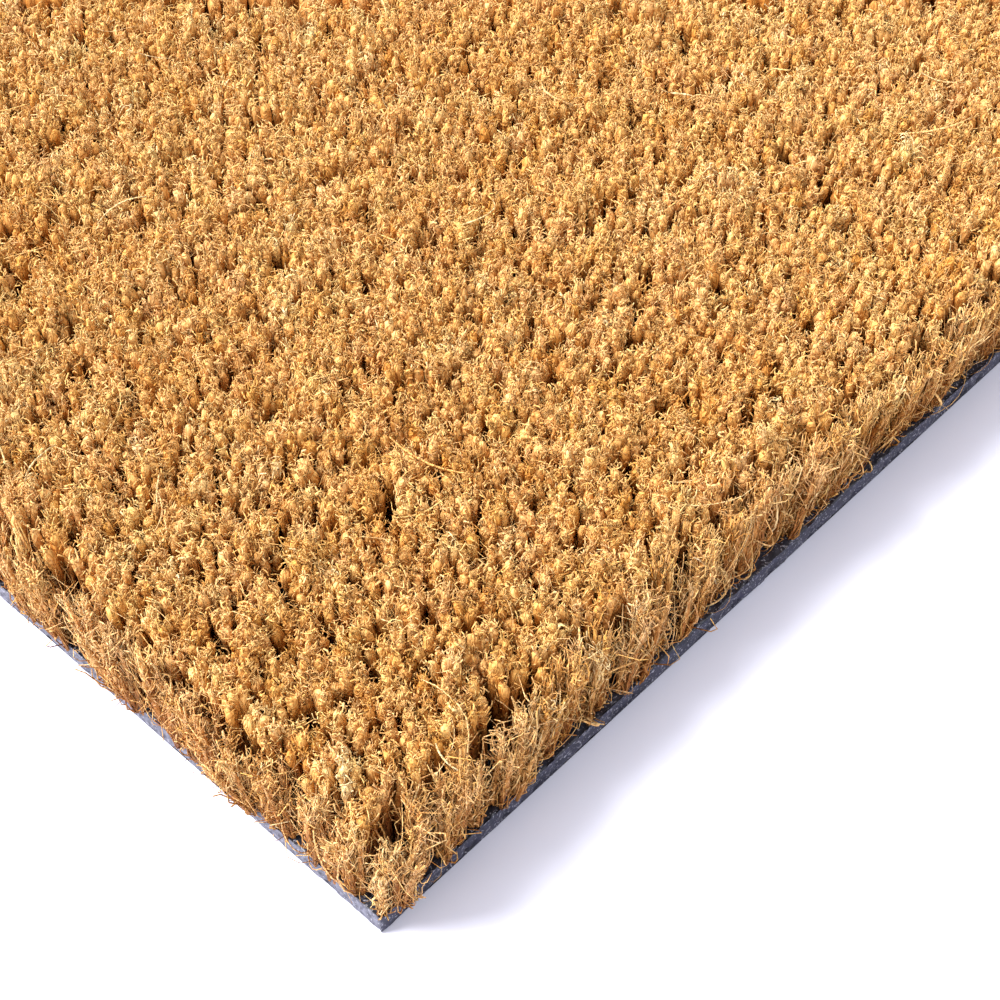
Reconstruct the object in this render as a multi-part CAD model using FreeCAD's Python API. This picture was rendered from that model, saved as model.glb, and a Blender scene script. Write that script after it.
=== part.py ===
import FreeCAD, Part
import os

# Door mat: a rectangle cut from tufted coir matting, coir pile on a cast vinyl backing.
# Millimetres, +Z up. The origin is the centre of the underside, on the floor.
# +X is the long side. The tuft rows run along +X and are set side by side along Y.

# Driving dimensions
MAT_LENGTH = 600.0
MAT_WIDTH = 400.0
MAT_THICKNESS = 17.0
BACKING_THICKNESS = 2.5

# Tuft rows
ROW_COUNT = 144
ROWS_PER_NODE = 4
ROOT_DEPTH = 1.0  # how far the roots are cast into the vinyl
ROOT_WIDTH = 1.6  # a row where it leaves the vinyl
CROWN_GAP = 0.3  # between two neighbouring rows at their cropped tips
FLARE_HEIGHT = 9.0  # above the vinyl, where the fibres have spread to their full width
ROW_END_MARGIN = 0.7  # from the cut edge to the end of a row

# Worked out from the dimensions above
ROW_PITCH = MAT_WIDTH / ROW_COUNT
CROWN_WIDTH = ROW_PITCH - CROWN_GAP
ROW_LENGTH = MAT_LENGTH - 2 * ROW_END_MARGIN
ROW_START_X = -ROW_LENGTH / 2
ROOT_Z = BACKING_THICKNESS - ROOT_DEPTH
FLARE_Z = BACKING_THICKNESS + FLARE_HEIGHT
NODE_COUNT = ROW_COUNT // ROWS_PER_NODE


def row_centre_y(row):
    """The middle of a tuft row, counted from the front edge of the mat."""
    return -MAT_WIDTH / 2 + (row + 0.5) * ROW_PITCH


def tuft_row(row):
    """One row of tufts as one bar: upright where it is cast in, then spreading to its cropped crown."""
    y = row_centre_y(row)
    half_root = ROOT_WIDTH / 2
    half_crown = CROWN_WIDTH / 2
    section = [
        (y - half_root, ROOT_Z),
        (y + half_root, ROOT_Z),
        (y + half_root, BACKING_THICKNESS),
        (y + half_crown, FLARE_Z),
        (y + half_crown, MAT_THICKNESS),
        (y - half_crown, MAT_THICKNESS),
        (y - half_crown, FLARE_Z),
        (y - half_root, BACKING_THICKNESS),
    ]
    corners = [FreeCAD.Vector(ROW_START_X, across, up) for across, up in section]
    outline = Part.makePolygon(corners + corners[:1])
    return Part.Face(outline).extrude(FreeCAD.Vector(ROW_LENGTH, 0, 0))


def root_seat(row):
    """The space that the roots of one row take up in the vinyl."""
    corner = FreeCAD.Vector(ROW_START_X, row_centre_y(row) - ROOT_WIDTH / 2, ROOT_Z)
    return Part.makeBox(ROW_LENGTH, ROOT_WIDTH, ROOT_DEPTH, corner)


def vinyl_backing():
    """The vinyl sheet, cut square to the mat's size, with a seat for the roots of every row."""
    corner = FreeCAD.Vector(-MAT_LENGTH / 2, -MAT_WIDTH / 2, 0)
    sheet = Part.makeBox(MAT_LENGTH, MAT_WIDTH, BACKING_THICKNESS, corner)
    seats = Part.makeCompound([root_seat(row) for row in range(ROW_COUNT)])
    return sheet.cut(seats).Solids[0]


def tuft_rows(node):
    """Neighbouring tuft rows that share one node, each a separate solid."""
    first = node * ROWS_PER_NODE
    return Part.makeCompound([tuft_row(row) for row in range(first, first + ROWS_PER_NODE)])


os.makedirs("parts", exist_ok=True)
vinyl_backing().exportStep("parts/vinyl_backing.step")
for node in range(NODE_COUNT):
    tuft_rows(node).exportStep(f"parts/tuft_rows_{node + 1:02d}.step")
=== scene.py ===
import math

import bpy
import numpy as np
from mathutils import Matrix, Vector


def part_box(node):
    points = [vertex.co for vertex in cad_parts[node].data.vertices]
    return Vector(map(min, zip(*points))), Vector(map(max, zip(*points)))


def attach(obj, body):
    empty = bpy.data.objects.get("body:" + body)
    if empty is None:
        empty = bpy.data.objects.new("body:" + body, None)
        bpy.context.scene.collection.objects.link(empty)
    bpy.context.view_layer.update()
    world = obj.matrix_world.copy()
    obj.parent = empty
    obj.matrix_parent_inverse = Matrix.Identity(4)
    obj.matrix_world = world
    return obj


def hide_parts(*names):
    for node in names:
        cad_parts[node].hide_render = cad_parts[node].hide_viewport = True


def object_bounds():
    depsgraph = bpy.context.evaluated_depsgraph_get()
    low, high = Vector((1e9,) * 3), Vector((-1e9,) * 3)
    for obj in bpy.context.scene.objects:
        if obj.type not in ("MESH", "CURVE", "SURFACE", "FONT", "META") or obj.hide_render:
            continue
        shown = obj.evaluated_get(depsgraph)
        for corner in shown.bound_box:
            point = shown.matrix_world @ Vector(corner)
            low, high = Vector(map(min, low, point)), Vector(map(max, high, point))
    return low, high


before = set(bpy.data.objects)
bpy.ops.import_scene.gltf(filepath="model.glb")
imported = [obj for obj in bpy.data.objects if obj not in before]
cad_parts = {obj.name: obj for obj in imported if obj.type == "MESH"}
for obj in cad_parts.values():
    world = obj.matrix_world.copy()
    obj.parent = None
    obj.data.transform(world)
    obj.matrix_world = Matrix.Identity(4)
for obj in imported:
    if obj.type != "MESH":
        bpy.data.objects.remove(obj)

# A coir door mat seen close up at one corner. Metres, +Z up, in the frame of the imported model.
# The near corner is the one at -X, -Y. The front edge runs from it along +X, the left edge along +Y.

MM = 0.001
CAD_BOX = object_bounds()
LOW, HIGH = (np.array(corner) for corner in CAD_BOX)
BACKING_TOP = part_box("vinyl_backing")[1][2]
ROW_NODES = sorted(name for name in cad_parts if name.startswith("tuft_rows"))
NEAR_CORNER = LOW[:2]

# Camera: which way it looks, and where the near corner lies from it along its right, up and forward.
CAMERA_LENS = 70.2  # mm, on a 36 mm sensor
CAMERA_HEADING = math.radians(43.2)  # anticlockwise from +X
CAMERA_PITCH = math.radians(49.3)  # downwards
CORNER_FROM_CAMERA = Vector((-11.1, -40.9, 183.9)) * MM
CLIP_START = 0.01

# Light: a wide soft sun, and a bright even world
SUN_STRENGTH = 6.9
SUN_ANGLE = math.radians(28)  # how wide it is, which softens its shadows
SUN_COLOUR = (1.0, 0.97, 0.93)
SUN_TRAVEL = Vector((0.62, -0.62, -0.9))  # the way its light goes
WORLD_STRENGTH = 1.34
WORLD_COLOUR = (1.0, 0.985, 0.97)
FLOOR_HALF = 4.0
FLOOR_GAP = 0.1 * MM  # under the mat

# Tufts
ROWS_PER_NODE = 4
TUFT_SPACING = 2.62 * MM  # along a row
TUFT_SCATTER = 0.33 * MM
ROW_WANDER = 0.5 * MM
MISSING_SHARE = 0.002
EDGE_MISSING_SHARE = 0.10
ROOT_RADIUS = 0.5 * MM
CROWN_RADIUS = 0.92 * MM  # to the middles of the outer bundles
CROWN_HEIGHT = HIGH[2] - 0.4 * MM
HEIGHT_SPREAD = 0.52 * MM
DOME = 1.05 * MM  # how much lower a tuft's outer bundles are than its middle one
ROOT_SINK = 0.8 * MM  # below the vinyl's top
FRONT_REACH = 3.2 * MM  # how far in from the front and back edges the tufts splay
SIDE_REACH = 1.7 * MM  # from the left and right edges, which cut across the rows
BUNDLES = 5  # a tuft parts into this many bundles of fibres in the patch by the near corner
EDGE_BUNDLES = 3  # along the edges elsewhere
HEAD_RADIUS = 0.60 * MM  # of a bundle's matted core, at its widest
EDGE_HEAD_RADIUS = 0.38 * MM
COARSE_BUNDLES = 2  # away from the edges and the patch
COARSE_HEAD_RADIUS = 1.12 * MM
TONE = 0.43  # of a bundle, from 0 for dark brown to 1 for pale straw
COARSE_TONE = 0.35  # allows for the thin fibres and small shadows that the coarse tufts lack
COARSE_PINK = 0.2  # added, for the same reason
COARSE_CREST = 0.895  # how far up the shading a coarse tuft's top gets, for the same reason

# Fibres on each bundle: how many, and their width
SHORT_LOCKS = (21, 0.165 * MM)  # stuck together, standing off the bundle's sides and head
WRAPPED_LOCKS = (2, 0.15 * MM)  # stuck together, curled over its head
SHORT_FIBRES = (4, 0.10 * MM)
EDGE_LOCKS = (7, 0.15 * MM)  # from the root up the bundle to a free tip
MATTED_LOCKS = (24, 0.18 * MM)
MATTED_FIBRES = (8, 0.10 * MM)
COARSE_FIBRES = (1, 0.42 * MM)
COARSE_EDGE_FIBRES = (3, 0.26 * MM)
PATCH_DEPTH = 0.128  # of the finely made patch, along the camera's heading from the near corner
PATCH_MIDDLE = 0.011  # across it
PATCH_HALF_WIDTHS = (0.050, 0.068)  # at its near and far ends
RAGGED_CELL = 5 * MM  # its border wanders in steps of this
RAGGED_REACH = 3 * MM  # and by this much
MOST_FACES = 190_000  # triangles in one piece

BAKE_MAP = "OFBake"  # the UV map that gives each rod its own cell for baked colours
BACKING_SEED, PILE_SEED, RAGGED_SEED, STRAND_SEED = 11, 4, 8, 21


# ---------------------------------------------------------------- helpers


def lerp(low, high, share):
    return low + (high - low) * share


class Field:
    """Smooth random values, from -1 to 1, over the mat. They vary over one cell of the given size."""

    def __init__(self, rng, cell_x, cell_y=None):
        self.cell = np.array([cell_x, cell_y or cell_x])
        size = np.ceil((HIGH - LOW)[:2] / self.cell).astype(int) + 6
        self.grid = rng.uniform(-1, 1, size)

    def at(self, x, y):
        u = (x - LOW[0]) / self.cell[0] + 2
        v = (y - LOW[1]) / self.cell[1] + 2
        i = np.clip(np.floor(u).astype(int), 0, self.grid.shape[0] - 2)
        j = np.clip(np.floor(v).astype(int), 0, self.grid.shape[1] - 2)
        a = np.clip(u - i, 0, 1)
        b = np.clip(v - j, 0, 1)
        a = a * a * (3 - 2 * a)
        b = b * b * (3 - 2 * b)
        g = self.grid
        front = lerp(g[i, j], g[i + 1, j], a)
        back = lerp(g[i, j + 1], g[i + 1, j + 1], a)
        return lerp(front, back, b)


def unit(vectors):
    return vectors / np.maximum(np.linalg.norm(vectors, axis=-1, keepdims=True), 1e-12)


def link(piece_name, mesh):
    piece = bpy.data.objects.new(piece_name, mesh)
    bpy.context.scene.collection.objects.link(piece)
    return piece


# ---------------------------------------------------------------- camera, lights and floor


def make_camera():
    data = bpy.data.cameras.new("camera")
    data.lens = CAMERA_LENS
    data.clip_start = CLIP_START
    heading = Vector((math.cos(CAMERA_HEADING), math.sin(CAMERA_HEADING), 0))
    right = Vector((heading.y, -heading.x, 0))
    forward = heading * math.cos(CAMERA_PITCH) - Vector((0, 0, math.sin(CAMERA_PITCH)))
    up = right.cross(forward)
    corner = Vector((*NEAR_CORNER, LOW[2]))
    offset = CORNER_FROM_CAMERA
    place = corner - right * offset.x - up * offset.y - forward * offset.z
    camera = bpy.data.objects.new("camera", data)
    turn = Matrix((right, up, -forward)).transposed().to_4x4()
    camera.matrix_world = Matrix.Translation(place) @ turn
    bpy.context.scene.collection.objects.link(camera)
    bpy.context.scene.camera = camera


def make_lights():
    sun = bpy.data.lights.new("key", "SUN")
    sun.energy = SUN_STRENGTH
    sun.angle = SUN_ANGLE
    sun.color = SUN_COLOUR
    lamp = bpy.data.objects.new("key", sun)
    lamp.rotation_euler = SUN_TRAVEL.to_track_quat("-Z", "Y").to_euler()
    bpy.context.scene.collection.objects.link(lamp)
    world = bpy.data.worlds.new("studio")
    world.use_nodes = True
    background = world.node_tree.nodes["Background"]
    background.inputs["Color"].default_value = (*WORLD_COLOUR, 1)
    background.inputs["Strength"].default_value = WORLD_STRENGTH
    bpy.context.scene.world = world
    bpy.context.scene.view_settings.view_transform = "Standard"


def make_floor(material):
    mesh = bpy.data.meshes.new("floor")
    signs = ((-1, -1), (1, -1), (1, 1), (-1, 1))
    corners = [(x * FLOOR_HALF, y * FLOOR_HALF, LOW[2] - FLOOR_GAP) for x, y in signs]
    mesh.from_pydata(corners, [], [(0, 1, 2, 3)])
    mesh.materials.append(material)
    link("floor", mesh)


# ---------------------------------------------------------------- materials


class Shader:
    """A small helper that adds nodes to one material and joins them."""

    def __init__(self, name):
        self.material = bpy.data.materials.new(name)
        self.material.use_nodes = True
        self.tree = self.material.node_tree
        self.surface = self.tree.nodes["Principled BSDF"]

    def node(self, kind, **settings):
        made = self.tree.nodes.new(kind)
        for name, value in settings.items():
            setattr(made, name, value)
        return made

    def join(self, source, target):
        self.tree.links.new(source, target)

    def attribute(self, name):
        return self.node("ShaderNodeAttribute", attribute_name=name).outputs["Fac"]

    def place(self, stretch=(1, 1, 1)):
        """The piece's own coordinates in metres, stretched."""
        mapping = self.node("ShaderNodeMapping")
        mapping.inputs["Scale"].default_value = stretch
        source = self.node("ShaderNodeTexCoord").outputs["Object"]
        self.join(source, mapping.inputs["Vector"])
        return mapping.outputs["Vector"]

    def noise(self, scale, detail=3.0, stretch=(1, 1, 1), roughness=0.5, distortion=0.0):
        made = self.node("ShaderNodeTexNoise")
        made.inputs["Scale"].default_value = scale
        made.inputs["Detail"].default_value = detail
        made.inputs["Roughness"].default_value = roughness
        made.inputs["Distortion"].default_value = distortion
        self.join(self.place(stretch), made.inputs["Vector"])
        return made.outputs["Fac"]

    def ramp(self, source, stops):
        made = self.node("ShaderNodeValToRGB")
        elements = made.color_ramp.elements
        while len(elements) < len(stops):
            elements.new(0.5)
        for element, (position, colour) in zip(elements, stops):
            element.position = position
            element.color = (*colour, 1)
        self.join(source, made.inputs["Fac"])
        return made.outputs["Color"]

    def ripples(self, source, count):
        """Turns a smooth value into that many even ridges, each from 0 to 1 and back."""
        scaled = self.span(source, 0, count)
        made = self.node("ShaderNodeMath", operation="PINGPONG")
        made.inputs[1].default_value = 1.0
        self.join(scaled, made.inputs[0])
        return made.outputs["Value"]

    def span(self, source, low, high):
        """A value of 0 to 1 as one of low to high."""
        made = self.node("ShaderNodeMapRange")
        made.inputs["To Min"].default_value = low
        made.inputs["To Max"].default_value = high
        self.join(source, made.inputs["Value"])
        return made.outputs["Result"]

    def multiply(self, colour, by):
        """A colour times another colour or a number."""
        made = self.node("ShaderNodeMix", data_type="RGBA", blend_type="MULTIPLY")
        made.inputs["Factor"].default_value = 1.0
        self.join(colour, made.inputs["A"])
        self.join(by, made.inputs["B"])
        return made.outputs["Result"]

    def mix(self, share, first, second):
        made = self.node("ShaderNodeMix", data_type="RGBA")
        self.join(share, made.inputs["Factor"])
        self.join(first, made.inputs["A"])
        self.join(second, made.inputs["B"])
        return made.outputs["Result"]

    def bump(self, source, strength, distance):
        made = self.node("ShaderNodeBump")
        made.inputs["Strength"].default_value = strength
        made.inputs["Distance"].default_value = distance
        self.join(source, made.inputs["Height"])
        self.join(made.outputs["Normal"], self.surface.inputs["Normal"])


# The fine fibres in the surface of a bundle are ripples of a noise that is drawn out upwards.
FIBRE_SCALE = 1100
FIBRE_STRETCH = 0.4
FIBRE_RIPPLES = 12
FIBRE_RELIEF = 0.13 * MM


def coir_material():
    """Dry coconut fibre: gold crowns, tan lower down, no two fibres alike. It is brown towards the roots:
    mostly painted shade where the pile shades itself, and partly the fibres' own darker lower parts.
    """
    s = Shader("coir")
    tone = s.attribute("tone")
    along = s.attribute("along")
    gold = s.ramp(tone, (
        (0.0, (0.62, 0.290, 0.050)),
        (0.2, (0.78, 0.420, 0.100)),
        (0.5, (0.93, 0.600, 0.215)),
        (0.8, (0.94, 0.690, 0.280)),
        (1.0, (0.96, 0.820, 0.480)),
    ))
    tan = s.ramp(tone, (
        (0.0, (0.64, 0.330, 0.095)),
        (0.2, (0.80, 0.460, 0.175)),
        (0.5, (0.97, 0.625, 0.310)),
        (0.8, (0.94, 0.710, 0.380)),
        (1.0, (0.96, 0.830, 0.570)),
    ))
    body = s.mix(s.span(s.attribute("pink"), 0, 1), gold, tan)
    # Painted shade: below the crowns the colour darkens and reddens towards the roots, standing in for the
    # shade and the reddish bounced light deep in the pile.
    shade = s.ramp(along, (
        (0.0, (0.40, 0.23, 0.12)),
        (0.6, (0.52, 0.34, 0.19)),
        (0.8, (0.76, 0.60, 0.42)),
        (0.94, (1.0, 1.0, 1.0)),
        (1.0, (1.0, 1.0, 1.0)),
    ))
    fibres = s.noise(FIBRE_SCALE, 1.5, stretch=(1, 1, FIBRE_STRETCH), distortion=0.6)
    strand = s.ripples(fibres, FIBRE_RIPPLES)
    # The grooves between the fibres are darker: partly painted shade in them, partly the fibres' own
    # differing tone.
    stripes_and_groove_shade = s.ramp(strand, (
        (0.0, (0.52, 0.35, 0.20)),
        (0.33, (0.89, 0.83, 0.75)),
        (1.0, (1.0, 1.0, 1.0)),
    ))
    blotch = s.ramp(s.noise(900, 2.0), (
        (0.25, (0.88, 0.84, 0.78)),
        (0.6, (1.0, 1.0, 1.0)),
        (1.0, (1.0, 1.0, 1.0)),
    ))
    colour = s.multiply(s.multiply(s.multiply(body, shade), blotch), stripes_and_groove_shade)
    s.join(colour, s.surface.inputs["Base Color"])
    s.join(s.span(s.noise(2500, 1.0), 0.5, 0.8), s.surface.inputs["Roughness"])
    s.surface.inputs["Specular IOR Level"].default_value = 0.2
    s.bump(strand, 1.0, FIBRE_RELIEF)
    return s.material


VINYL_RELIEF = 0.12 * MM


def vinyl_material(name, dark, light, rough_low, rough_high, grain, bump):
    """Blue-black cast vinyl with pale specks, partly painted glints on its rough surface and partly crumbs.
    grain is the scale of its clouds.
    """
    s = Shader(name)
    cloud = s.noise(grain, 4.0)
    base = s.ramp(cloud, ((0.3, dark), (0.75, light)))
    # Pale specks: painted glints of the rough vinyl, and partly crumbs.
    glint_and_crumb_speck = s.ramp(s.noise(3800, 2.0), (
        (0.0, (0.0, 0.0, 0.0)),
        (0.60, (0.0, 0.0, 0.0)),
        (0.66, (1.0, 1.0, 1.0)),
    ))
    pale = s.ramp(cloud, ((0.0, (0.20, 0.20, 0.26)), (1.0, (0.36, 0.36, 0.42))))
    s.join(s.mix(glint_and_crumb_speck, base, pale), s.surface.inputs["Base Color"])
    s.join(s.span(s.noise(1400, 3.0), rough_low, rough_high), s.surface.inputs["Roughness"])
    s.bump(s.noise(2600, 4.0, roughness=0.65), bump, VINYL_RELIEF)
    return s.material


def floor_material():
    s = Shader("floor")
    shade = s.ramp(s.noise(3.0, 2.0), ((0.0, (0.655, 0.68, 0.83)), (1.0, (0.685, 0.71, 0.86))))
    s.join(shade, s.surface.inputs["Base Color"])
    s.surface.inputs["Roughness"].default_value = 0.8
    return s.material


# ---------------------------------------------------------------- vinyl backing

FINE_STEP = 0.35 * MM  # along the cut edge, by the near corner
COARSE_STEP = 2.0 * MM
FINE_RUN = 0.15  # how far that goes along the front and left edges
CUT_RINGS = (0.0, 0.18, 0.55, 1.05, 1.55, 2.0, 2.34, 2.5)  # mm above the floor, up the cut face
TOP_RINGS = (0.12, 0.35, 0.7, 1.1, 1.6, 2.2, 3.0, 4.2, 6.0)  # mm in from the cut edge
UNDER_RINGS = (6.0, 1.0, 0.15)  # the same, on the underside
NICK_COUNT = 90  # half of them along the fine run
NICK_WIDTHS = (0.35, 1.3)  # mm from a nick's middle to its ends
NICK_DEPTHS = (0.12, 0.42)  # mm, into the cut face at its foot
NICK_LIFT = 0.8  # how far a nick lifts the foot, as a share of its depth
CUT_INSET = 0.10 * MM  # the cut face's mean place, inside the CAD outline
ARRIS_INSET = 0.06 * MM  # more than that at the foot and the top of the cut face
WOBBLE_CELL, WOBBLE = 6 * MM, 0.10 * MM  # of the knife, along the cut
ROUGH_CELL, ROUGH = 0.7 * MM, 0.07 * MM
SMALL_LUMP_CELL, SMALL_LUMP = 0.8 * MM, 0.13 * MM  # of the vinyl round the roots
LARGE_LUMP_CELL, LARGE_LUMP = 2.2 * MM, 0.12 * MM
LUMPS_FULL = 0.5  # mm in from the edge, where the lumps have their full height
SHARP_STEPS = 3  # points beside each corner where the wobble and nicks fade out
# The last slot is the left cut face, the same vinyl painted paler: painted light, as the light from the
# left falls on it.
CUT_SLOT, UNDERSIDE_SLOT, TOP_SLOT, PAINTED_LIGHT_CUT_SLOT = range(4)


def steps(start, end, fine_until):
    """Places from start to just before end, close together up to fine_until."""
    fine = np.arange(start, fine_until, FINE_STEP)
    coarse = np.arange(max(start, fine_until), end, COARSE_STEP)
    return np.concatenate([fine, coarse])


def perimeter():
    """Points round the mat's outline from the near corner, with each one's outward normal."""
    (x0, y0), (x1, y1) = LOW[:2], HIGH[:2]
    front = steps(x0, x1, x0 + FINE_RUN)
    right = steps(y0, y1, y0)
    left = steps(y0, y1, y0 + FINE_RUN)
    points = [np.stack([front, np.full_like(front, y0)], 1)]
    points.append(np.stack([np.full_like(right, x1), right], 1))
    back = np.arange(x1, x0, -COARSE_STEP)
    points.append(np.stack([back, np.full_like(back, y1)], 1))
    left = np.concatenate([[y1], left[:0:-1]])
    points.append(np.stack([np.full_like(left, x0), left], 1))
    normals = [np.tile(n, (len(p), 1)) for n, p in zip(((0, -1), (1, 0), (0, 1), (-1, 0)), points)]
    corners = np.cumsum([0] + [len(p) for p in points[:-1]])
    return np.concatenate(points), np.concatenate(normals).astype(float), corners


def along_noise(rng, distance, cell):
    """Smooth random values, -1 to 1, along a line."""
    lattice = rng.uniform(-1, 1, int(distance[-1] / cell) + 3)
    at = distance / cell
    i = at.astype(int)
    share = at - i
    share = share * share * (3 - 2 * share)
    return lerp(lattice[i], lattice[i + 1], share)


def make_backing(materials):
    """The vinyl sheet: a cut face with wobbles and nicks, a lumpy top margin and a plain underside.

    The materials come in the order of the slots: cut face, underside, top, and the left cut face painted
    paler, as painted light where the light falls on it."""
    rng = np.random.default_rng(BACKING_SEED)
    outline, normal, corners = perimeter()
    gaps = np.linalg.norm(np.diff(outline, axis=0, append=outline[:1]), axis=1)
    distance = np.concatenate([[0], np.cumsum(gaps)[:-1]])
    count = len(outline)
    half = (HIGH - LOW)[:2] / 2
    middle = (HIGH + LOW)[:2] / 2
    to_corner = np.min([np.abs(np.arange(count) - c) for c in (*corners, count)], axis=0)
    hold = np.clip(to_corner / SHARP_STEPS, 0, 1)
    nick_at = rng.uniform(0, distance[-1], NICK_COUNT)
    nick_at[: NICK_COUNT // 2] = rng.uniform(0, FINE_RUN, NICK_COUNT // 2)
    nick_width = rng.uniform(*NICK_WIDTHS, NICK_COUNT) * MM
    nick_depth = rng.uniform(*NICK_DEPTHS, NICK_COUNT) * MM
    away = np.abs(distance[:, None] - nick_at[None]) / nick_width[None]
    nick = (np.clip(1 - away, 0, 1) * nick_depth[None]).max(1)
    rings = []

    def ring(inset, height):
        scale = (half - inset) / half
        flat = middle + (outline - middle) * scale
        rings.append(np.column_stack([flat, np.broadcast_to(height, count)]))

    for inset in UNDER_RINGS:
        ring(inset * MM, LOW[2])
    wobble = along_noise(rng, distance, WOBBLE_CELL) * WOBBLE
    for level in CUT_RINGS:
        rough = along_noise(rng, distance, ROUGH_CELL) * ROUGH
        low_share = 1 - level / CUT_RINGS[-1]
        push = (wobble + rough - nick * low_share**0.7) * hold - CUT_INSET
        if level in (CUT_RINGS[0], CUT_RINGS[-1]):
            push = push - ARRIS_INSET
        height = LOW[2] + level * MM + (nick * NICK_LIFT if level == 0 else 0) * hold
        ring(0.0, height)
        rings[-1][:, :2] += normal * push[:, None]
    for inset in TOP_RINGS:
        lumps = along_noise(rng, distance, SMALL_LUMP_CELL) * SMALL_LUMP
        lumps += along_noise(rng, distance, LARGE_LUMP_CELL) * LARGE_LUMP
        ring(inset * MM, BACKING_TOP + lumps * min(inset / LUMPS_FULL, 1.0))
    vertices = np.concatenate([*rings, [[*middle, LOW[2]]], [[*middle, BACKING_TOP]]])
    under, top = len(vertices) - 2, len(vertices) - 1
    i = np.arange(count)
    j = (i + 1) % count
    starts = count * np.arange(len(rings))
    quads = [np.stack([i + s, j + s, j + s + count, i + s + count], 1) for s in starts[:-1]]
    under_fan = np.stack([np.full(count, under), j, i], 1)
    top_fan = np.stack([np.full(count, top), i + starts[-1], j + starts[-1]], 1)
    fans = [under_fan, top_fan]
    faces = [f for block in (*quads, *fans) for f in block.tolist()]
    mesh = bpy.data.meshes.new("vinyl_backing_sheet")
    mesh.from_pydata(vertices.tolist(), [], faces)
    for material in materials:
        mesh.materials.append(material)
    under_faces = (len(UNDER_RINGS) - 1) * count
    cut_faces = len(CUT_RINGS) * count
    ring_faces = len(quads) * count
    slots = np.full(len(faces), TOP_SLOT)
    slots[:under_faces] = UNDERSIDE_SLOT
    slots[under_faces: under_faces + cut_faces] = CUT_SLOT
    slots[ring_faces: ring_faces + count] = UNDERSIDE_SLOT
    on_left = np.tile(np.arange(count) >= corners[3], len(quads))
    # Painted light: the left cut face gets the paler copy of the cut vinyl.
    slots[:ring_faces][on_left & (slots[:ring_faces] == CUT_SLOT)] = PAINTED_LIGHT_CUT_SLOT
    mesh.polygons.foreach_set("material_index", slots.astype(np.int32))
    mesh.shade_smooth()
    piece = link("vinyl_backing_sheet", mesh)
    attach(piece, "root")
    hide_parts("vinyl_backing")


# ---------------------------------------------------------------- tufts

ROW_STARTS = (0.3, 0.8)  # mm from the left edge to a row's first tuft
ROW_END = 0.6 * MM  # from the right edge, the least
WANDER_CELLS = (35 * MM, 8 * MM)  # along and across the rows
EDGE_MARGIN = 0.35 * MM  # the least from a root to the cut edge
ROOTS_SHIFT_FROM = 0.4  # how far into the edge zone the roots begin to be pushed outwards
EDGE_LOSSES_FROM = 0.35  # and where the knife begins to cost tufts


def plant_tufts(rng):
    """Where every tuft stands, as x and y, and the number of its node of rows."""
    rows = len(ROW_NODES) * ROWS_PER_NODE
    pitch = (HIGH[1] - LOW[1]) / rows
    wander = Field(rng, *WANDER_CELLS)
    xs, ys, row_of = [], [], []
    for row in range(rows):
        start = LOW[0] + rng.uniform(*ROW_STARTS) * MM
        x = np.arange(start, HIGH[0] - ROW_END, TUFT_SPACING)
        xs.append(x)
        ys.append(np.full_like(x, LOW[1] + (row + 0.5) * pitch))
        row_of.append(np.full(len(x), row))
    x, y, row = (np.concatenate(a) for a in (xs, ys, row_of))
    y = y + wander.at(x, y) * ROW_WANDER
    x = x + rng.normal(0, TUFT_SCATTER, len(x))
    y = y + rng.normal(0, TUFT_SCATTER, len(x))
    edge, way = outward(x, y)
    shift = np.clip(edge - ROOTS_SHIFT_FROM, 0, 1) * rng.uniform(0, 1.0, len(x)) * MM
    x = np.clip(x + way[:, 0] * shift, LOW[0] + EDGE_MARGIN, HIGH[0] - EDGE_MARGIN)
    y = np.clip(y + way[:, 1] * shift, LOW[1] + EDGE_MARGIN, HIGH[1] - EDGE_MARGIN)
    kept = rng.random(len(x)) > np.where(edge > EDGE_LOSSES_FROM, EDGE_MISSING_SHARE, MISSING_SHARE)
    x, y, row = x[kept], y[kept], row[kept]
    return x, y, row // ROWS_PER_NODE


def outward(x, y):
    """How far each tuft is into the edge zone, 0 to 1, and the way out of the mat from it."""
    gaps = np.stack([x - LOW[0], HIGH[0] - x, y - LOW[1], HIGH[1] - y])
    reaches = np.array([SIDE_REACH, SIDE_REACH, FRONT_REACH, FRONT_REACH]).reshape(4, *[1] * np.ndim(x))
    share = np.clip(1 - gaps / reaches, 0, 1)
    way = np.stack([share[1] - share[0], share[3] - share[2]], 1)
    return share.max(0), unit(way)


def from_near_corner(x, y):
    """How far tufts stand from the near corner, along the camera's heading and across it."""
    dx, dy = x - NEAR_CORNER[0], y - NEAR_CORNER[1]
    ahead = dx * math.cos(CAMERA_HEADING) + dy * math.sin(CAMERA_HEADING)
    across = dx * math.sin(CAMERA_HEADING) - dy * math.cos(CAMERA_HEADING)
    return ahead, across


def in_patch(x, y):
    """Whether tufts stand in the finely made patch by the near corner."""
    ahead, across = from_near_corner(x, y)
    ragged = Field(np.random.default_rng(RAGGED_SEED), RAGGED_CELL).at(x, y) * RAGGED_REACH
    ahead, across = ahead - ragged, across - ragged
    half_width = lerp(*PATCH_HALF_WIDTHS, ahead / PATCH_DEPTH)
    return (ahead < PATCH_DEPTH) & (np.abs(across - PATCH_MIDDLE) < half_width)


# How the tufts vary over the mat: the size of the areas that vary together, and by how much.
LEAN_CELL, LEAN = 8 * MM, 0.42 * MM
SWEEP_CELL, SWEEP = 45 * MM, 0.7 * MM  # a slower lean, over wide areas
SWELL_CELL, SWELL = 5 * MM, 0.25 * MM  # in height
LEVEL_CELL, LEVEL = 28 * MM, 0.2 * MM  # in height, over wide areas
BAND_CELLS, BAND_TONE = (16 * MM, 60 * MM), 0.05
PARTING_CELL = 3.6 * MM  # along an edge, where tufts part one way or the other
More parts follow.
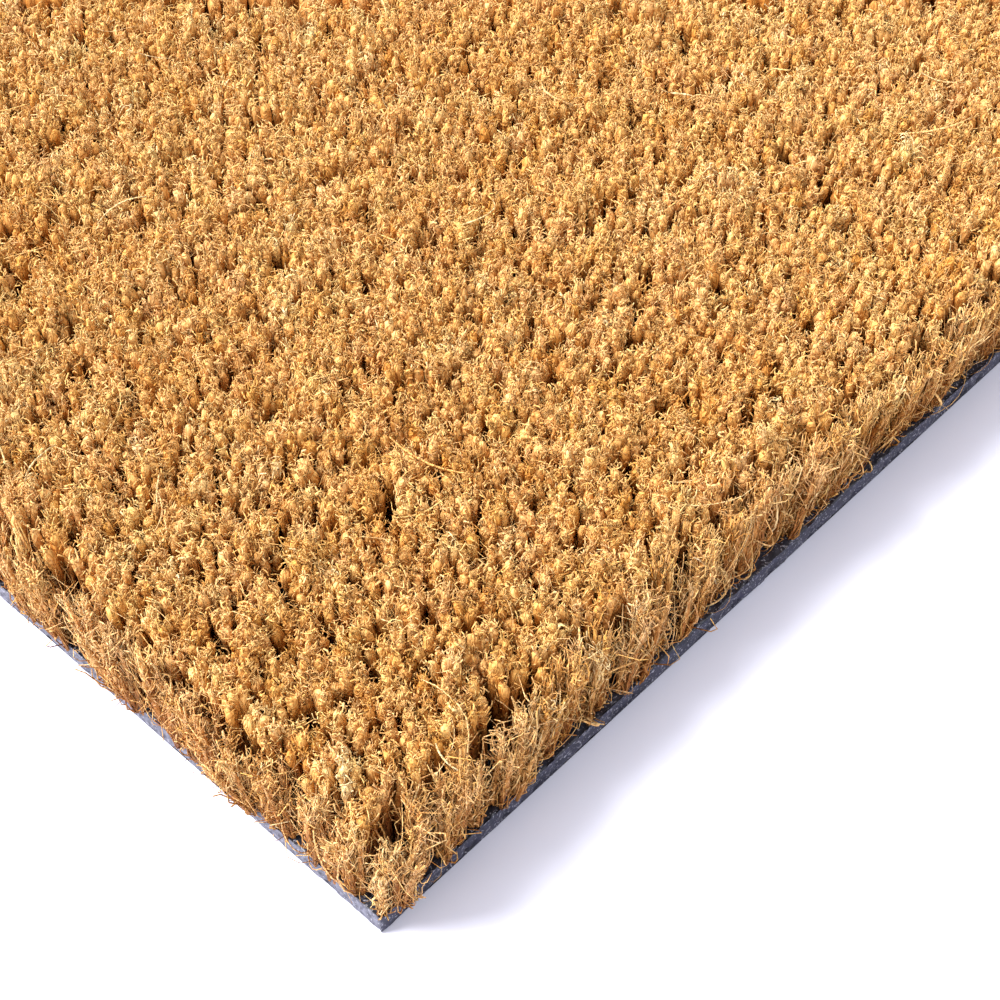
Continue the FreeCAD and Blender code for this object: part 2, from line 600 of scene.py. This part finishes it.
# How each tuft varies on its own
LEAN_SPREAD = 0.38 * MM
CROWN_SPREAD = (0.8, 1.14)
TONE_SPREAD = 0.09
PINK, PINK_SPREAD = 0.32, 0.15
# What the edge adds, at the edge itself
# mm outwards and sideways. FRONT is added on the front and back edges.
EDGE_LEAN, EDGE_LEAN_FRONT, EDGE_LEAN_SPREAD = 0.25, 0.95, 0.5
EDGE_PARTING, EDGE_PARTING_FRONT, EDGE_PARTING_SPREAD = 0.9, 1.3, 0.6
EDGE_SHORTER = 1.6  # mm, the most
EDGE_TONE = 0.05
EDGE_PINK = 0.35


def shape_tufts(rng, x, y):
    """Each tuft's height, crown, lean and tone, and how near the corner it is, from 0 to 1."""
    edge, way = outward(x, y)
    side = np.stack([-way[:, 1], way[:, 0]], 1)
    count = len(x)
    lean_x, lean_y = Field(rng, LEAN_CELL), Field(rng, LEAN_CELL)
    sweep_x, sweep_y = Field(rng, SWEEP_CELL), Field(rng, SWEEP_CELL)
    parting = Field(rng, PARTING_CELL)
    swell, level = Field(rng, SWELL_CELL), Field(rng, LEVEL_CELL)
    band = Field(rng, *BAND_CELLS)
    lean = np.stack([
        lean_x.at(x, y) * LEAN + sweep_x.at(x, y) * SWEEP,
        lean_y.at(x, y) * LEAN + sweep_y.at(x, y) * SWEEP,
    ], 1) + rng.normal(0, LEAN_SPREAD, (count, 2))
    front = np.abs(way[:, 1])
    outwards = rng.normal(EDGE_LEAN + EDGE_LEAN_FRONT * front, EDGE_LEAN_SPREAD, count)
    lean += way * (edge * outwards * MM)[:, None]
    sideways = parting.at(x, y) * (EDGE_PARTING + EDGE_PARTING_FRONT * front)
    sideways = sideways + rng.normal(0, EDGE_PARTING_SPREAD, count)
    lean += side * (edge * sideways * MM)[:, None]
    height = CROWN_HEIGHT + rng.normal(0, HEIGHT_SPREAD, count)
    height += swell.at(x, y) * SWELL + level.at(x, y) * LEVEL
    height -= edge * rng.uniform(0.0, EDGE_SHORTER, count) * MM
    crown = CROWN_RADIUS * rng.uniform(*CROWN_SPREAD, count)
    tone = rng.normal(0, TONE_SPREAD, count) + band.at(x, y) * BAND_TONE + edge * EDGE_TONE
    pink = rng.normal(PINK, PINK_SPREAD, count) + edge * EDGE_PINK
    near = np.clip(1 - from_near_corner(x, y)[0] / PATCH_DEPTH, 0, 1)
    return {"x": x, "y": y, "edge": edge, "way": way, "side": side, "lean": lean, "height": height,
            "crown": crown, "tone": tone, "pink": pink, "near": near}


# ---------------------------------------------------------------- fibres

# A bundle's rings: how much it has risen by each, how much it has splayed from the tuft, and its
# radius there as a share of its head's.
BODY_RINGS = (
    (0.0, 0.0, 0.42), (0.70, 0.5, 0.78), (0.86, 0.84, 1.0), (0.93, 0.95, 0.72), (0.95, 1.0, 0.15),
)
EDGE_BODY_RINGS = (
    (0.0, 0.0, 0.7), (0.35, 0.3, 0.95), (0.65, 0.6, 0.95), (0.83, 0.85, 0.65), (0.91, 1.0, 0.12),
)
COARSE_RINGS = ((0.0, 0.0, 0.42), (0.9, 0.8, 1.0), (0.98, 1.0, 0.4))
# A rising fibre's rings: how much it has risen by each, how far out it is as a share of the bundle's
# radius there, and that radius as a share of its head's.
RISING_RINGS = ((0.0, 0.4, 0.42), (0.78, 0.96, 0.88), (0.93, 1.12, 1.0), (1.0, 1.3, 0.95))
EDGE_RISING_RINGS = (
    (0.0, 0.6, 0.7), (0.22, 1.0, 0.9), (0.42, 1.2, 1.0),
    (0.62, 1.3, 1.0), (0.82, 1.4, 1.0), (1.0, 1.7, 1.0),
)
COARSE_RISING_RINGS = ((0.0, 0.4, 0.42), (0.8, 0.95, 0.9), (1.0, 1.15, 1.0))
STRAY_STEPS = np.linspace(0, 1, 7)
STRAND_SIDES = 3  # of every fibre, where a bundle has more

# How bundles vary
TURN_SPREAD = 0.25  # of the step from one bundle to the next round a tuft
INNER_REACH = (0, 0.25)  # from the tuft's middle, as shares of its crown's radius
OUTER_REACH = (0.75, 1.1)
SPLAY_SPREAD = 0.16 * MM
EDGE_SIDEWAYS = 1.1 * MM  # along the edge
EDGE_OUTWARDS = (-0.3, 0.9)  # mm
ROOT_SPREAD = 0.12 * MM  # in the edge zone only
TOP_SPREAD = 0.36 * MM
EDGE_DROP = 7 * MM  # the most that the knife takes off a bundle at the edge
KINK = 0.06 * MM
GIRTH_SPREAD = 0.12
EDGE_THINNER = 0.25
BUNDLE_TONE_SPREAD = 0.09
BUNDLE_PINK_SPREAD = 0.12
BUNDLE_ROUGH = 0.2  # how uneven its section is
EDGE_SHADE = 0.72  # where the root's shading begins on the cut edges, which are open to the light
FIBRE_EDGE_SHADE = 0.75

# How fibres vary
FIBRE_TAPER = (1.1, 0.8)
FIBRE_TONE_SPREAD = 0.085
FIBRE_PINK_SPREAD = 0.25
RISING_LIGHTER, SHORT_LIGHTER, WRAPPED_LIGHTER = 0.12, 0.08, 0.10  # in tone, than their bundle
RISING_DROP, RISING_EDGE_DROP = 0.9 * MM, 7.0 * MM  # the most that one ends short, and more at the edge
RISING_KINK, RISING_EDGE_KINK = 0.09 * MM, 0.24 * MM


def ways(angle):
    return np.stack([np.cos(angle), np.sin(angle)], -1)


def make_bundles(rng, tufts, picked, number, head, sides, table, tone=TONE, pinker=0.0, crest=1.0):
    """The bundles that the picked tufts part into, as closed rods.

    along is how far up the shading each ring is, from 0 at the root to 1 at the top, or to crest."""
    owner = np.repeat(picked, number)
    count = len(owner)
    index = np.tile(np.arange(number), len(picked))
    phase = np.repeat(rng.random(len(picked)), number)
    ringed = max(number - 1, 1)
    turn = (index + rng.uniform(-TURN_SPREAD, TURN_SPREAD, count)) / ringed + phase
    inner = (index == 0)
    reach = np.where(inner, rng.uniform(*INNER_REACH, count), rng.uniform(*OUTER_REACH, count))
    way = ways(2 * np.pi * turn)
    edge = tufts["edge"][owner]
    splay = way * (reach * tufts["crown"][owner])[:, None] + rng.normal(0, SPLAY_SPREAD, (count, 2))
    splay += tufts["side"][owner] * (edge * rng.normal(0, EDGE_SIDEWAYS, count))[:, None]
    splay += tufts["way"][owner] * (edge * rng.uniform(*EDGE_OUTWARDS, count) * MM)[:, None]
    root = np.stack([tufts["x"][owner], tufts["y"][owner]], 1) + way * (reach * ROOT_RADIUS)[:, None]
    root += rng.normal(0, ROOT_SPREAD, (count, 2)) * edge[:, None]
    top = tufts["height"][owner] + rng.normal(0, TOP_SPREAD, count) - DOME * reach**2
    top -= edge * rng.uniform(0, 1, count)**2 * EDGE_DROP
    rise, splayed, girth = np.array(table).T
    bottom = BACKING_TOP - ROOT_SINK
    flat = root[:, None] + tufts["lean"][owner][:, None] * rise[None, :, None]
    flat = flat + splay[:, None] * splayed[None, :, None]
    flat += rng.normal(0, KINK, flat.shape) * (rise > 0)[None, :, None]
    height = bottom + (top - bottom)[:, None] * rise[None]
    radius = head * rng.lognormal(0, GIRTH_SPREAD, count) * (1 - EDGE_THINNER * edge)
    return {
        "paths": np.concatenate([flat, height[..., None]], 2),
        "radii": radius[:, None] * girth[None],
        "tone": tone + tufts["tone"][owner] + rng.normal(0, BUNDLE_TONE_SPREAD, count),
        "pink": tufts["pink"][owner] + pinker + rng.normal(0, BUNDLE_PINK_SPREAD, count),
        "along": lerp(rise, lerp(EDGE_SHADE, 1, rise), edge[:, None]) * crest,
        "owner": owner, "top": top, "radius": radius, "edge": edge, "near": tufts["near"][owner],
        "sides": sides, "rough": BUNDLE_ROUGH, "rise": rise, "crest": crest,
    }


def path_at(bundles, share):
    """The middle of each bundle at a share of its height, or its top if that is lower."""
    rise, paths = bundles["rise"], bundles["paths"]
    share = min(share, rise[-1])
    k = max(np.searchsorted(rise, share) - 1, 0)
    part = (share - rise[k]) / (rise[k + 1] - rise[k])
    return lerp(paths[:, k], paths[:, k + 1], part)


def hairs(bundles, which, paths, width, rng, lighter):
    """A block of thin fibres that belong to bundles."""
    count = len(which)
    taper = np.linspace(*FIBRE_TAPER, paths.shape[1])
    return {
        "paths": paths,
        "radii": (width * rng.lognormal(-0.04, 0.3, count) / 2)[:, None] * taper[None],
        "tone": bundles["tone"][which] + lighter + rng.normal(0, FIBRE_TONE_SPREAD, count),
        "pink": bundles["pink"][which] + rng.normal(0, FIBRE_PINK_SPREAD, count),
        "owner": bundles["owner"][which], "sides": STRAND_SIDES, "rough": 0.0,
    }


def rising_fibres(rng, bundles, fibres, table, loose):
    """Fibres that run up their bundle from the root and end in a free tip at its head."""
    number, width = fibres
    which = np.repeat(np.arange(len(bundles["top"])), number)
    count = len(which)
    edge, radius = bundles["edge"][which], bundles["radius"][which]
    angle = rng.uniform(0, 2 * np.pi, count)
    twist = rng.normal(0, 0.6, count)
    reach = rng.random(count)**0.5
    drop = rng.random(count)**2.5 * (RISING_DROP + RISING_EDGE_DROP * edge)
    top = bundles["top"][which] - 0.45 * MM * reach**2 + rng.uniform(-0.3, 0.25, count) * MM - drop
    toss = rng.normal(0, 1, (count, 2)) * (loose * MM + 0.3 * edge * MM)[:, None]
    bottom = BACKING_TOP - ROOT_SINK
    points = []
    for rise, outness, girth in table:
        middle = path_at(bundles, rise)[which]
        way = ways(angle + twist * rise)
        out = np.where(rise > 0.5, reach, 0.8) * outness * girth * radius
        flat = middle[:, :2] + way * out[:, None] + toss * rise**6
        if 0 < rise < 1:
            flat = flat + rng.normal(0, 1, (count, 2)) * (RISING_KINK + RISING_EDGE_KINK * edge)[:, None]
        height = bottom + (top - bottom) * rise
        points.append(np.concatenate([flat, height[:, None]], 1))
    block = hairs(bundles, which, np.stack(points, 1), width, rng, RISING_LIGHTER)
    rise = np.array([ring[0] for ring in table])
    return {**block, "along": lerp(rise, lerp(FIBRE_EDGE_SHADE, 1, rise), edge[:, None]) * bundles["crest"]}


FEWER_FAR, WIDTH_FAR, WIDTH_NEAR = 0.55, 1.12, 0.84  # at the patch's far end and by the corner
SHORT_BEND = 1.1  # of a short fibre's swing


def short_fibres(rng, bundles, fibres, lowest, length, swing, rings):
    """Short fibres that stand off their bundle's sides and head, each in its own direction.

    There are most of them, and the thinnest, by the near corner. lowest is the share of the bundle's
    height that they start from, and swing is how far they turn and bend."""
    number, width = fibres
    near = bundles["near"]
    each = np.round(number * lerp(FEWER_FAR, 1.0, near)).astype(int)
    which = np.repeat(np.arange(len(near)), each)
    width = width * lerp(WIDTH_FAR, WIDTH_NEAR, near[which])
    count = len(which)
    rise, middles, radii = bundles["rise"], bundles["paths"], bundles["radii"]
    share = rise[-1] - (rise[-1] - lowest) * rng.random(count)**1.5
    k = np.clip(np.searchsorted(rise, share) - 1, 0, len(rise) - 2)
    part = (share - rise[k]) / (rise[k + 1] - rise[k])
    start = lerp(middles[which, k], middles[which, k + 1], part[:, None])
    girth = lerp(radii[which, k], radii[which, k + 1], part)
    way = ways(rng.uniform(0, 2 * np.pi, count))
    start[:, :2] += way * (girth * 0.85)[:, None]
    tilt = way * rng.uniform(0, 0.7, (count, 1)) + rng.normal(0, swing, (count, 2))
    heading = unit(np.concatenate([tilt, np.ones((count, 1))], 1))
    bend = rng.normal(0, SHORT_BEND * swing, (count, 3)) * np.array([1, 1, 0.3])
    reach = length * rng.lognormal(0, 0.3, count)
    t = np.linspace(0, 1, rings)[None, :, None]
    curl = bend[:, None] * np.sin(np.pi * t) + rng.normal(0, 0.5 * swing, (count, 1, 3)) * t**2
    paths = start[:, None] + (heading[:, None] * t + curl) * reach[:, None, None]
    ceiling = bundles["top"][which] + rng.uniform(-0.1, 0.4, count) * MM
    paths[..., 2] = np.minimum(paths[..., 2], ceiling[:, None])
    block = hairs(bundles, which, paths, width, rng, SHORT_LIGHTER)
    climb = lerp(share[:, None], 1, np.linspace(0, 1, rings)[None])
    return {**block, "along": lerp(climb, lerp(FIBRE_EDGE_SHADE, 1, climb), bundles["edge"][which, None])}


WRAPPED_RINGS = 4


def wrapped_fibres(rng, bundles, fibres):
    """Short fibres that curl over their bundle's head in any direction."""
    number, width = fibres
    which = np.repeat(np.arange(len(bundles["top"])), number)
    count = len(which)
    head = path_at(bundles, 0.96)[which]
    head[:, 2] = bundles["top"][which] - 0.78 * bundles["radius"][which]
    tilt = np.arccos(rng.uniform(0.1, 1, count))
    turn = rng.uniform(0, 2 * np.pi, count)
    normal = np.concatenate([ways(turn) * np.sin(tilt)[:, None], np.cos(tilt)[:, None]], 1)
    across = unit(np.cross(normal, rng.normal(0, 1, (count, 3))))
    swing = rng.uniform(0.45, 1.15, count)
    along = np.linspace(-1, 1, WRAPPED_RINGS)
    sweep = along[None] * swing[:, None]
    reach = bundles["radius"][which, None] * rng.uniform(0.98, 1.12, (count, 1))
    reach = reach + np.abs(along[None])**3 * rng.uniform(0, 0.22, (count, 1)) * MM
    arc = np.cos(sweep)[..., None] * normal[:, None] + np.sin(sweep)[..., None] * across[:, None]
    paths = head[:, None] + arc * reach[..., None] + rng.normal(0, 0.05 * MM, (count, WRAPPED_RINGS, 3))
    block = hairs(bundles, which, paths, width, rng, WRAPPED_LIGHTER)
    return {**block, "along": np.full((count, WRAPPED_RINGS), 0.95), "guide": normal}


STRAND_SHADE = 0.9  # how far up the shading a loose fibre is
LOOSE_COUNT = 900
LOOSE_NEAR_SHARE = 0.11  # of them, in LOOSE_NEAR_AREA from the near corner
LOOSE_NEAR_AREA = (150, 140)  # mm
LOOSE_LENGTH = 5.5  # mm, the median
LOOSE_WIDTHS = (0.10, 0.24)  # mm, of that share and of the rest
LOOSE_TONE = (0.74, 0.14)  # the mean and the spread, as below
MATTED_RUN = 150 * MM  # the densely matted stretch of each edge
MATTED_COUNTS = (600, 60)  # in it, on the edges that meet at the near corner and on the others
MATTED_EACH_MM = 1.1  # the rest, all along each edge
MATTED_WIDTHS = (0.09, 0.26)  # mm, of the dense ones and of the rest
MATTED_INSETS = (0.5, 3.2)  # mm in from the cut
MATTED_TONE = (0.55, 0.15)
MATTED_PINK = (0.7, 0.25)
STRAND_WAVE = 0.12 * MM


def strands(rng, starts, ends, bulge, width, tone, pink):
    """Loose fibres, each one arc from start to end that bulges by the given vector."""
    t = STRAY_STEPS
    chord = starts[:, None] + (ends - starts)[:, None] * t[None, :, None]
    arc = (4 * t * (1 - t))[None, :, None] * bulge[:, None]
    count = len(starts)
    wave = np.sin(rng.uniform(4, 9, count)[:, None] * t + rng.uniform(0, 6, count)[:, None])
    way = unit(rng.normal(0, 1, (count, 3)))
    paths = chord + arc + way[:, None] * (wave * STRAND_WAVE)[..., None]
    radii = width[:, None] / 2 * (0.55 + 0.45 * np.sin(np.pi * np.clip(t * 0.9 + 0.08, 0, 1)))[None]
    return {"paths": paths, "radii": radii, "tone": tone, "pink": pink,
            "along": np.full((count, len(t)), STRAND_SHADE), "sides": STRAND_SIDES, "rough": 0.0}


def loose_strands(rng):
    """Long pale fibres that lie on the crowns. A share of them, the thin ones, lie near the corner."""
    count = LOOSE_COUNT
    near = rng.random(count) < LOOSE_NEAR_SHARE
    places = []
    for axis in (0, 1):
        beside = NEAR_CORNER[axis] + rng.uniform(3, LOOSE_NEAR_AREA[axis], count) * MM
        places.append(np.where(near, beside, rng.uniform(LOW[axis], HIGH[axis], count)))
    length = rng.lognormal(np.log(LOOSE_LENGTH), 0.45, count) * MM
    angle = rng.uniform(0, 2 * np.pi, count)
    way = np.stack([np.cos(angle), np.sin(angle), rng.normal(0, 0.06, count)], 1)
    height = CROWN_HEIGHT + rng.uniform(-0.7, 0.25, count) * MM
    start = np.stack([*places, height], 1)
    end = start + way * length[:, None]
    for axis in (0, 1):
        end[:, axis] = np.clip(end[:, axis], LOW[axis], HIGH[axis])
    side = np.stack([-way[:, 1], way[:, 0], rng.uniform(0, 0.5, count)], 1)
    bulge = side * (length * rng.normal(0, 0.16, count))[:, None]
    bulge[:, 2] = np.abs(bulge[:, 2])
    width = np.where(near, *LOOSE_WIDTHS) * rng.lognormal(0, 0.25, count) * MM
    tone = rng.normal(*LOOSE_TONE, count)
    return strands(rng, start, end, bulge, width, tone, rng.random(count))


def edge_strands(rng):
    """Matted fibres that hang across the standing pile along the cut edges."""
    parts = []
    for axis, outer, way_out in ((0, LOW[1], -1), (0, HIGH[1], 1), (1, LOW[0], -1), (1, HIGH[0], 1)):
        low, high = LOW[axis], HIGH[axis]
        dense_count = MATTED_COUNTS[0] if way_out < 0 else MATTED_COUNTS[1]
        dense = rng.uniform(low + 1 * MM, low + MATTED_RUN, dense_count)
        sparse = rng.uniform(low + 1 * MM, high - 1 * MM, int((high - low) / MM * MATTED_EACH_MM))
        run = np.concatenate([dense, sparse])
        count = len(run)
        fine = np.arange(count) < dense_count
        inset = rng.uniform(*MATTED_INSETS, count) * MM
        start = np.zeros((count, 3))
        start[:, axis] = run
        start[:, 1 - axis] = outer - way_out * inset
        start[:, 2] = BACKING_TOP + rng.uniform(-0.3, 5.0, count) * MM
        end = start.copy()
        slide = rng.normal(0, 3.2, count) * MM
        end[:, axis] = np.clip(run + slide, low + 0.5 * MM, high - 0.5 * MM)
        end[:, 1 - axis] += way_out * rng.uniform(-1.4, 1.9, count) * MM
        end[:, 2] += rng.uniform(2, 9.5, count) * MM
        end[:, 2] = np.minimum(end[:, 2], CROWN_HEIGHT - 0.8 * MM)
        bulge = rng.normal(0, 0.7 * MM, (count, 3))
        bulge[:, 1 - axis] += way_out * rng.uniform(0, 1.0, count) * MM
        width = np.where(fine, *MATTED_WIDTHS) * rng.lognormal(0, 0.25, count) * MM
        tone = rng.normal(*MATTED_TONE, count)
        parts.append(strands(rng, start, end, bulge, width, tone, rng.normal(*MATTED_PINK, count)))
    return {key: (value if key in SHARED else np.concatenate([p[key] for p in parts]))
            for key, value in parts[0].items()}


def ring_frames(block, rng):
    """Two directions across each path at each of its points."""
    paths = block["paths"]
    ahead = unit(np.gradient(paths, axis=1))
    roll = rng.uniform(0, 2 * np.pi, len(paths))
    guide = block.get("guide", np.stack([np.cos(roll), np.sin(roll), np.full(len(paths), 0.13)], 1))
    first = unit(np.cross(ahead, guide[:, None]))
    return first, np.cross(ahead, first)


def rod_block(block, rng):
    """Vertices, faces and values of one block of closed rods."""
    paths, sides = block["paths"], block["sides"]
    count, rings = paths.shape[:2]
    each = rings * sides
    first, second = ring_frames(block, rng)
    turn = np.arange(sides) * 2 * np.pi / sides
    offset = first[:, :, None] * np.cos(turn)[:, None] + second[:, :, None] * np.sin(turn)[:, None]
    radii = block["radii"][:, :, None] * (1 + rng.normal(0, block["rough"], (count, rings, sides)))
    vertices = paths[:, :, None] + offset * radii[..., None]
    base = (np.arange(count) * each)[:, None, None]
    level = (np.arange(rings - 1) * sides)[None, :, None]
    side = np.arange(sides)[None, None, :]
    after = (side + 1) % sides
    low, high = base + level, base + level + sides
    quads = np.stack([low + side, low + after, high + after, high + side], -1).reshape(-1, 4)
    start = base[:, 0]
    fan = np.arange(1, sides - 1)
    foot = np.stack([np.broadcast_to(start, (count, sides - 2)), start + fan + 1, start + fan], -1)
    tip = np.stack([np.broadcast_to(start, (count, sides - 2)), start + fan, start + fan + 1], -1)
    tip = tip + (rings - 1) * sides

    def spread(values, shape):
        return np.broadcast_to(values.reshape(shape), (count, rings, sides)).ravel()

    return {
        "vertices": vertices.reshape(-1, 3), "quads": quads,
        "triangles": np.concatenate([foot.reshape(-1, 3), tip.reshape(-1, 3)]),
        "along": spread(block["along"], (count, rings, 1)),
        "tone": spread(np.clip(block["tone"], 0, 1), (count, 1, 1)),
        "pink": spread(np.clip(block["pink"], 0, 1), (count, 1, 1)),
        "across": spread(np.arange(sides) / (sides - 1), (1, 1, sides)),
        "length": spread(np.linspace(0, 1, rings), (1, rings, 1)),
        "rod": np.repeat(np.arange(count), each), "count": count,
    }


CELL_ACROSS = (0.15, 0.7)  # where a rod starts in its cell, and how much of the cell it fills
CELL_ALONG = (0.12, 0.76)
THICK_SHARE = 0.6  # of the bake map


def bake_cells(made, band_low, band_high):
    """A place on the bake map for each vertex: one cell for each rod, in a band of the map."""
    total = sum(m["count"] for m in made)
    if not total:
        return np.zeros((0, 2))
    height = band_high - band_low
    columns = max(int(np.ceil(np.sqrt(total / height))), 1)
    rows = int(np.ceil(total / columns))
    starts = np.cumsum([0] + [m["count"] for m in made])
    rod = np.concatenate([m["rod"] + s for m, s in zip(made, starts)])
    across = CELL_ACROSS[0] + CELL_ACROSS[1] * np.concatenate([m["across"] for m in made])
    along = CELL_ALONG[0] + CELL_ALONG[1] * np.concatenate([m["length"] for m in made])
    u = (rod % columns + across) / columns
    v = (rod // columns + along) / rows
    return np.stack([u, band_low + v * height], 1)


def rod_mesh(name, blocks, material, rng):
    """One mesh of all the blocks. Thick rods share one part of the bake map, thin ones the rest."""
    blocks = [b for b in blocks if len(b["paths"])]
    thick = [rod_block(b, rng) for b in blocks if b["sides"] > STRAND_SIDES]
    thin = [rod_block(b, rng) for b in blocks if b["sides"] == STRAND_SIDES]
    made = thick + thin
    split = 0.0 if not thick else (1.0 if not thin else THICK_SHARE)
    cells = np.concatenate([bake_cells(thick, 0, split), bake_cells(thin, split, 1)])
    starts = np.cumsum([0] + [len(m["vertices"]) for m in made])
    vertices = np.concatenate([m["vertices"] for m in made])
    quads = np.concatenate([m["quads"] + s for m, s in zip(made, starts)])
    triangles = np.concatenate([m["triangles"] + s for m, s in zip(made, starts)])
    corners = np.concatenate([quads.ravel(), triangles.ravel()]).astype(np.int32)
    firsts = np.concatenate([np.arange(len(quads)) * 4, len(quads) * 4 + np.arange(len(triangles)) * 3])
    mesh = bpy.data.meshes.new(name)
    mesh.vertices.add(len(vertices))
    mesh.vertices.foreach_set("co", vertices.astype(np.float32).ravel())
    mesh.loops.add(len(corners))
    mesh.loops.foreach_set("vertex_index", corners)
    mesh.polygons.add(len(firsts))
    mesh.polygons.foreach_set("loop_start", firsts.astype(np.int32))
    mesh.update(calc_edges=True)
    mesh.shade_smooth()
    for key in ("along", "tone", "pink"):
        values = np.concatenate([m[key] for m in made]).astype(np.float32)
        mesh.attributes.new(key, "FLOAT", "POINT").data.foreach_set("value", values)
    uv = mesh.uv_layers.new(name=BAKE_MAP)
    uv.uv.foreach_set("vector", cells[corners].astype(np.float32).ravel())
    mesh.materials.append(material)
    return mesh


SHARED = ("sides", "rough", "rise", "crest")  # the entries of a block that hold for all its rods


def triangles_each(block):
    sides = block["sides"]
    return (block["paths"].shape[1] - 1) * sides * 2 + (sides - 2) * 2


def part_of(block, chosen):
    return {key: (value if key in SHARED else value[chosen]) for key, value in block.items()}


EDGE_FROM = 0.02  # how far into the edge zone a tuft is made as an edge tuft
BUNDLE_SIDES, COARSE_SIDES, COARSE_EDGE_SIDES = 6, 4, 5


def make_pile(material):
    """The coir rows, one piece or more for each node of rows."""
    rng = np.random.default_rng(PILE_SEED)
    x, y, node = plant_tufts(rng)
    tufts = shape_tufts(rng, x, y)
    edge = tufts["edge"] > EDGE_FROM
    fine = in_patch(x, y)

    def bundles(which, *shape):
        return make_bundles(rng, tufts, np.flatnonzero(which), *shape)

    inside = bundles(~edge & fine, BUNDLES, HEAD_RADIUS, BUNDLE_SIDES, BODY_RINGS)
    beside = bundles(edge & fine, BUNDLES, EDGE_HEAD_RADIUS, BUNDLE_SIDES, EDGE_BODY_RINGS)
    coarse = (COARSE_RINGS, COARSE_TONE, COARSE_PINK, COARSE_CREST)
    far = bundles(~edge & ~fine, COARSE_BUNDLES, COARSE_HEAD_RADIUS, COARSE_SIDES, *coarse)
    middles = part_of(far, np.arange(len(far["top"])) % COARSE_BUNDLES == 0)
    far_beside = bundles(edge & ~fine, EDGE_BUNDLES, HEAD_RADIUS, COARSE_EDGE_SIDES, *coarse)
    blocks = [
        inside,
        short_fibres(rng, inside, SHORT_LOCKS, lowest=0.55, length=0.95 * MM, swing=0.14, rings=3),
        wrapped_fibres(rng, inside, WRAPPED_LOCKS),
        short_fibres(rng, inside, SHORT_FIBRES, lowest=0.72, length=1.1 * MM, swing=0.30, rings=3),
        beside,
        rising_fibres(rng, beside, EDGE_LOCKS, EDGE_RISING_RINGS, loose=0.25),
        short_fibres(rng, beside, MATTED_LOCKS, lowest=0.02, length=1.6 * MM, swing=0.17, rings=4),
        short_fibres(rng, beside, MATTED_FIBRES, lowest=0.06, length=2.4 * MM, swing=0.34, rings=4),
        far,
        rising_fibres(rng, middles, COARSE_FIBRES, COARSE_RISING_RINGS, loose=0.2),
        far_beside,
        rising_fibres(rng, far_beside, COARSE_EDGE_FIBRES, RISING_RINGS, loose=0.5),
    ]
    for index, name in enumerate(ROW_NODES):
        mine = [part_of(b, node[b["owner"]] == index) for b in blocks]
        faces = sum(triangles_each(b) * len(b["paths"]) for b in mine)
        pieces = int(np.ceil(faces / MOST_FACES))
        places = np.sort(np.concatenate([np.repeat(b["paths"][:, 0, 0], triangles_each(b)) for b in mine]))
        cuts = [places[int(len(places) * k / pieces)] for k in range(1, pieces)]
        limits = [-np.inf, *cuts, np.inf]
        for number in range(pieces):
            low, high = limits[number], limits[number + 1]
            chosen = [part_of(b, (low <= b["paths"][:, 0, 0]) & (b["paths"][:, 0, 0] < high)) for b in mine]
            letter = "" if pieces == 1 else "_" + "abcdef"[number]
            piece_name = name.replace("tuft_rows", "coir_rows") + letter
            piece = link(piece_name, rod_mesh(piece_name, chosen, material, rng))
            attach(piece, "root")
            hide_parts(name)


def make_strands(material):
    rng = np.random.default_rng(STRAND_SEED)
    for name, block in (("loose_fibres", loose_strands(rng)), ("matted_edge_fibres", edge_strands(rng))):
        piece = link(name, rod_mesh(name, [block], material, rng))
        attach(piece, "root")


# ---------------------------------------------------------------- build

make_camera()
make_lights()
make_floor(floor_material())
make_backing((
    vinyl_material("vinyl_cut", (0.010, 0.010, 0.024), (0.038, 0.037, 0.074), 0.45, 0.75, 700, 0.6),
    vinyl_material("vinyl_underside", (0.030, 0.032, 0.045), (0.045, 0.048, 0.064), 0.5, 0.65, 300, 0.25),
    vinyl_material("vinyl_top", (0.012, 0.013, 0.022), (0.030, 0.033, 0.052), 0.22, 0.5, 900, 0.5),
    # The same cut vinyl painted paler, as painted light on the left cut face.
    vinyl_material("vinyl_scuffed", (0.026, 0.027, 0.044), (0.19, 0.19, 0.25), 0.45, 0.75, 1500, 0.7),
))
coir = coir_material()
make_pile(coir)
make_strands(coir)
